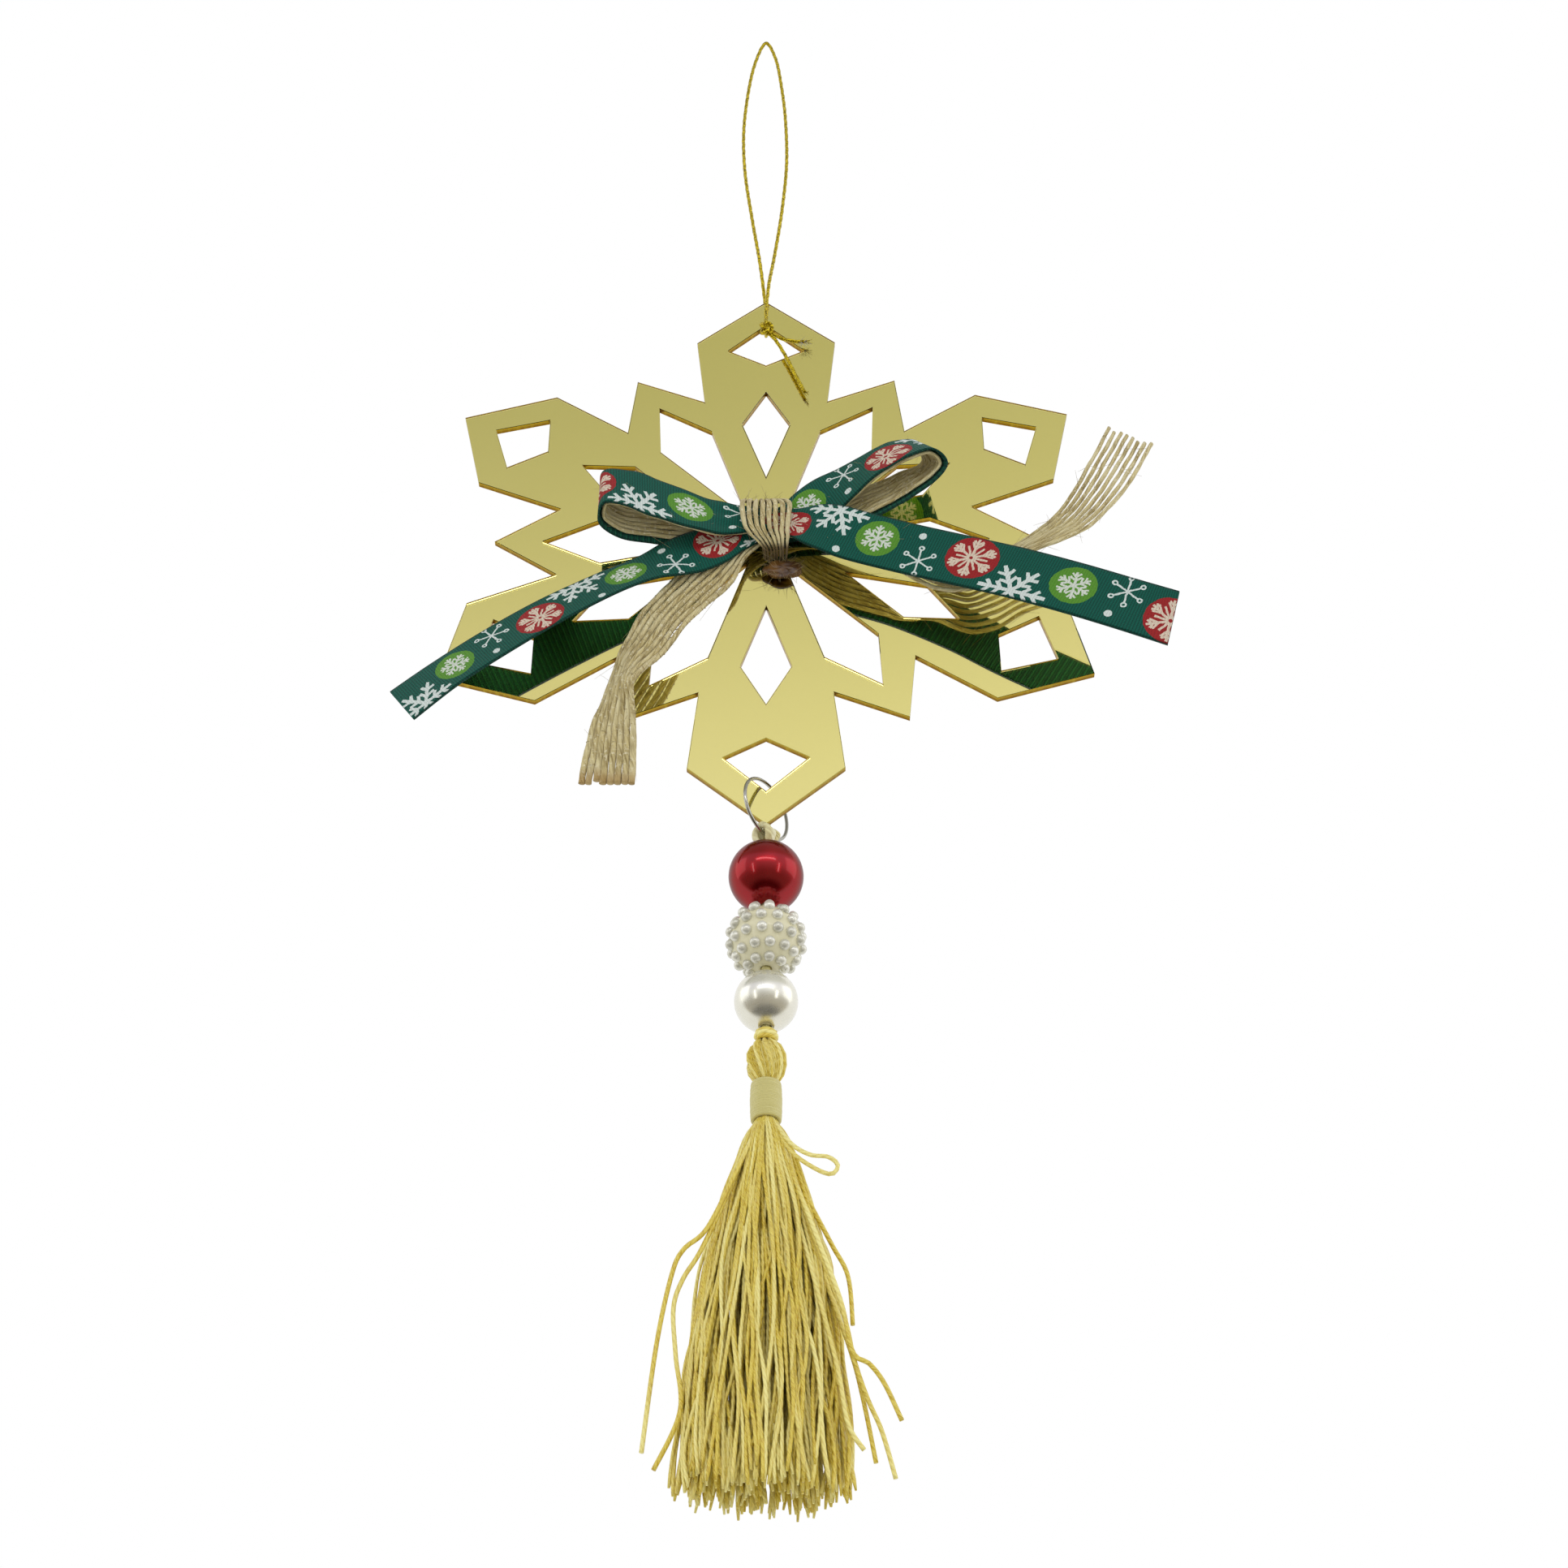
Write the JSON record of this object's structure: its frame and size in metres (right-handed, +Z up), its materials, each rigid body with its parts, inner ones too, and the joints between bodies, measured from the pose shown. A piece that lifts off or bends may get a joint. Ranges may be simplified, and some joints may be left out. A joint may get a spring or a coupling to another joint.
{
  "type": "hanging snowflake ornament",
  "caption": "Hanging mirror-gold acrylic snowflake with a ribbon bow, a string of beads and a thread tassel, on a cord loop.",
  "frame": {"origin": "where a nail or branch carries the hanging loop, at the loop's inner top", "axes": "+Z up as it hangs, the plate's front and the bow face -Y, +X to the viewer's right"},
  "size_m": [0.1241, 0.0199, 0.3082],
  "materials": {
    "mirror_gold": "gold-tinted acrylic over a mirror back, polished faces, laser-cut edges",
    "green_grosgrain": "matt ribbed polyester ribbon with a printed snowflake pattern",
    "jute": "matt natural jute yarn, slightly hairy",
    "brown_glue": "set hot glue with jute fuzz in it",
    "gold_cord": "metallic gold braided cord",
    "silver_wire": "bright silver-coloured wire",
    "satin_cord": "glossy cream-gold satin cord",
    "red_pearl": "glossy red with a pearl glow",
    "ivory_pearl": "ivory pearl, knobbly",
    "white_pearl": "smooth glossy white pearl",
    "gold_thread": "satin rayon thread"
  },
  "bodies": {
    "root": {"snowflake_plate": "mirror_gold", "printed_ribbon": "green_grosgrain", "jute_ribbon": "jute", "jute_tie": "jute", "glue_spot": "brown_glue", "hanging_cord": "gold_cord", "hanging_cord_knot": "gold_cord", "wire_ring": "silver_wire", "bead_string": "satin_cord", "red_bead": "red_pearl", "berry_bead": "ivory_pearl", "white_pearl_bead": "white_pearl", "tassel_neck_wrap": "gold_thread", "tassel_threads": "gold_thread", "tassel_collar": "gold_thread"}
  },
  "joints": []
}
